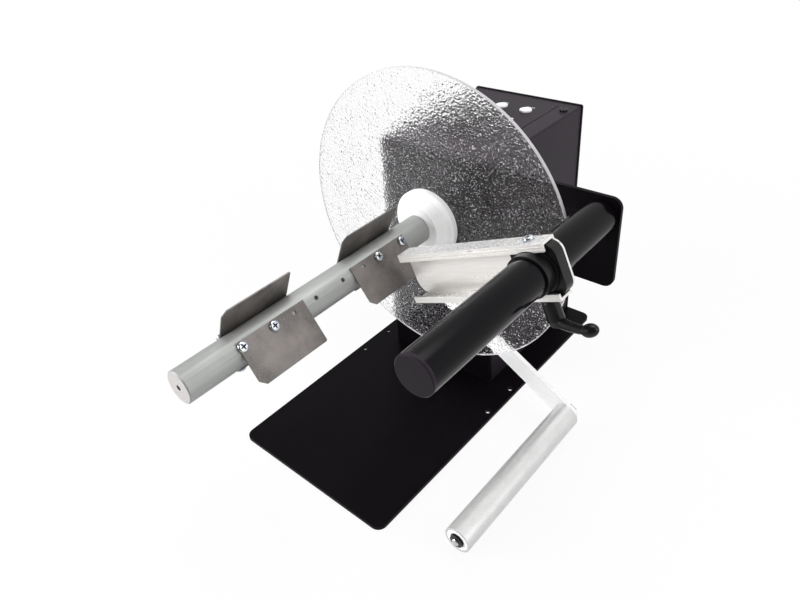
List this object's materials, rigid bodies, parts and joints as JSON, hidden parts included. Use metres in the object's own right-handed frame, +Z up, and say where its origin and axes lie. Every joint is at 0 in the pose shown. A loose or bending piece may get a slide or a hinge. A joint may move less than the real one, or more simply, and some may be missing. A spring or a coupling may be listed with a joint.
{
  "type": "label rewinder",
  "caption": "Bench label rewinder with a motor-driven spindle, clear flange disc, core wings, sliding guide on a bar and a dancer arm with roller.",
  "frame": {"origin": "underside of the base plate, below the spindle axis, in the plane of the flange disc's front face", "axes": "+X to the right across the machine, +Y away from the operator along the spindle, +Z up"},
  "size_m": [0.3293, 0.4203, 0.2992],
  "materials": {
    "powder_black": "satin black powder coat",
    "housing_grey": "charcoal powder coat",
    "bar_black": "satin black sleeve coat",
    "cap_grey": "charcoal moulded cap",
    "black_plastic": "black moulded plastic",
    "white_plastic": "white turned plastic",
    "clear_disc": "clear pebbled acrylic",
    "core_alu": "anodised, drawn",
    "wing_steel": "brushed sheet",
    "zinc": "bright zinc",
    "channel_alu": "bright folded sheet",
    "arm_alu": "satin flat bar",
    "roller_alu": "mottled tube",
    "steel": "ground steel",
    "bearing_steel": "polished races",
    "screw_black": "blacked screws",
    "button_white": "white caps",
    "knob_black": "black knob",
    "lamp_white": "clear lamp",
    "board_green": "circuit board",
    "motor_zinc": "cast and plated"
  },
  "bodies": {
    "frame": {"base_plate": "powder_black", "front_panel": "powder_black", "stop_pins": "steel", "housing_cover": "housing_grey", "side_panel": "housing_grey", "housing_screws": "screw_black", "rear_panel": "powder_black", "power_inlet": "black_plastic", "switch_bezel": "black_plastic", "bearing_block": "motor_zinc", "spindle_bearing_front": "bearing_steel", "spindle_bearing_rear": "bearing_steel", "motor_plate": "steel", "motor_pillars": "zinc", "gear_motor": "motor_zinc", "guide_bar": "bar_black", "bar_cap": "cap_grey", "bar_anchor": "steel", "bar_screw": "zinc", "dancer_bush": "bearing_steel", "arm_sensor": "motor_zinc", "control_board": "board_green", "status_lamp": "lamp_white", "circuit_board": "board_green"},
    "spindle": {"spindle_shaft": "steel", "motor_shaft": "steel", "shaft_coupling": "arm_alu", "flange_hub": "white_plastic", "flange_disc": "clear_disc", "back_hub": "white_plastic", "core_bar": "core_alu", "wing_front_1": "wing_steel", "wing_front_2": "wing_steel", "wing_front_3": "wing_steel", "wing_rear_1": "wing_steel", "wing_rear_2": "wing_steel", "wing_rear_3": "wing_steel", "wing_screws": "zinc"},
    "sleeve": {"guide_sleeve": "black_plastic"},
    "guide": {"guide_channel": "channel_alu", "clamp_block": "black_plastic", "block_screw": "zinc"},
    "lever": {"clamp_lever": "black_plastic", "lever_stud": "steel"},
    "dancer": {"dancer_arm": "arm_alu", "dancer_pin": "steel", "dancer_collar": "steel", "roller_axle": "steel", "axle_clip": "steel", "axle_nut": "zinc"},
    "roller": {"roller_tube": "roller_alu", "roller_plug_front": "white_plastic", "roller_plug_rear": "white_plastic", "roller_bearing_front": "bearing_steel", "roller_bearing_rear": "bearing_steel"},
    "knob": {"speed_knob": "knob_black"},
    "button_a": {"button_1": "button_white"},
    "button_b": {"button_2": "button_white"},
    "rocker": {"power_rocker": "black_plastic"}
  },
  "joints": [
    {"name": "spindle_spin", "type": "hinge", "parent": "frame", "child": "spindle", "pos_m": [0, 0, 0.1652], "axis": [0, 1, 0], "continuous": true},
    {"name": "guide_slide", "type": "slide", "parent": "frame", "child": "sleeve", "axis": [0, 1, 0], "range_m": [-0.105, 0.05]},
    {"name": "guide_swing", "type": "hinge", "parent": "sleeve", "child": "guide", "pos_m": [0.1469, -0.07, 0.2096], "axis": [0, 1, 0], "range_deg": [-15, 75]},
    {"name": "lever_turn", "type": "hinge", "parent": "guide", "child": "lever", "pos_m": [0.15872, -0.0702, 0.18203], "axis": [-0.3939, 0, 0.9191], "range_deg": [-100, 0]},
    {"name": "dancer_swing", "type": "hinge", "parent": "frame", "child": "dancer", "pos_m": [0, 0.0075, 0.0979], "axis": [0, -1, 0], "range_deg": [0, 45]},
    {"name": "roller_spin", "type": "hinge", "parent": "dancer", "child": "roller", "pos_m": [0.13838, -0.07, 0.01541], "axis": [0, 1, 0], "continuous": true},
    {"name": "knob_turn", "type": "hinge", "parent": "frame", "child": "knob", "pos_m": [-0.0135, 0.078, 0.235], "axis": [0, 0, 1], "range_deg": [-140, 140]},
    {"name": "button_a_press", "type": "slide", "parent": "frame", "child": "button_a", "axis": [0, 0, -1], "range_m": [0, 0.001], "stiffness_N_per_m": 400, "springref_m": -0.001},
    {"name": "button_b_press", "type": "slide", "parent": "frame", "child": "button_b", "axis": [0, 0, -1], "range_m": [0, 0.001], "stiffness_N_per_m": 400, "springref_m": -0.001},
    {"name": "rocker_tip", "type": "hinge", "parent": "frame", "child": "rocker", "pos_m": [0.018, 0.1568, 0.037], "axis": [0, 0, 1], "range_deg": [0, 18]}
  ]
}
